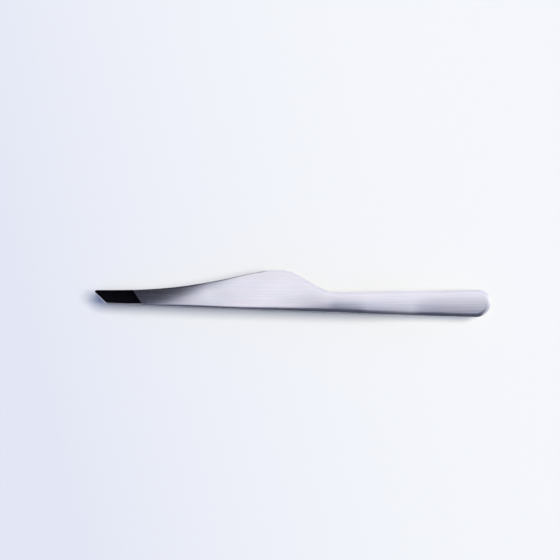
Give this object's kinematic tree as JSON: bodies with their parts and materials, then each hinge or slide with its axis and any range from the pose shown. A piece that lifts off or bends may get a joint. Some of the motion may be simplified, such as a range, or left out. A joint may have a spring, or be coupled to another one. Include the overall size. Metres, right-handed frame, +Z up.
{
  "type": "slant tweezers",
  "caption": "Slant tweezers: mirrored spring-steel arms welded together at the tail, with a finger-rest bump on one edge and slanted, ground gripping tips.",
  "frame": {"origin": "on the surface that the tweezers lie on, under the middle of their length and width", "axes": "+X along the tweezers towards the welded tail, +Y across them towards the finger rest's bump, +Z up through both arms"},
  "size_m": [0.096, 0.0113, 0.0104],
  "materials": {
    "brushed_steel": "stainless steel with a fine lengthwise brushed grain, satin inside, and a dark mirror-polished facet at each tip",
    "weld_metal": "dull re-solidified steel, sealed between the tails"
  },
  "bodies": {
    "tail": {"upper_tail": "brushed_steel", "lower_tail": "brushed_steel", "upper_flexure": "brushed_steel", "lower_flexure": "brushed_steel", "spot_welds": "weld_metal"},
    "upper_arm": {"upper_arm": "brushed_steel"},
    "lower_arm": {"lower_arm": "brushed_steel"}
  },
  "joints": [
    {"name": "upper_arm_spring", "type": "hinge", "parent": "tail", "child": "upper_arm", "pos_m": [0.029, 0, 0.00648], "axis": [0, -1, 0], "range_deg": [0, 2.3], "stiffness_Nm_per_rad": 1.6, "deforming": ["upper_flexure"]},
    {"name": "lower_arm_spring", "type": "hinge", "parent": "tail", "child": "lower_arm", "pos_m": [0.029, 0, 0.00392], "axis": [0, 1, 0], "range_deg": [0, 2.3], "stiffness_Nm_per_rad": 1.6, "deforming": ["lower_flexure"]}
  ],
  "couplings": [
    {"joint": "lower_arm_spring", "follows": "upper_arm_spring", "ratio": 1}
  ]
}
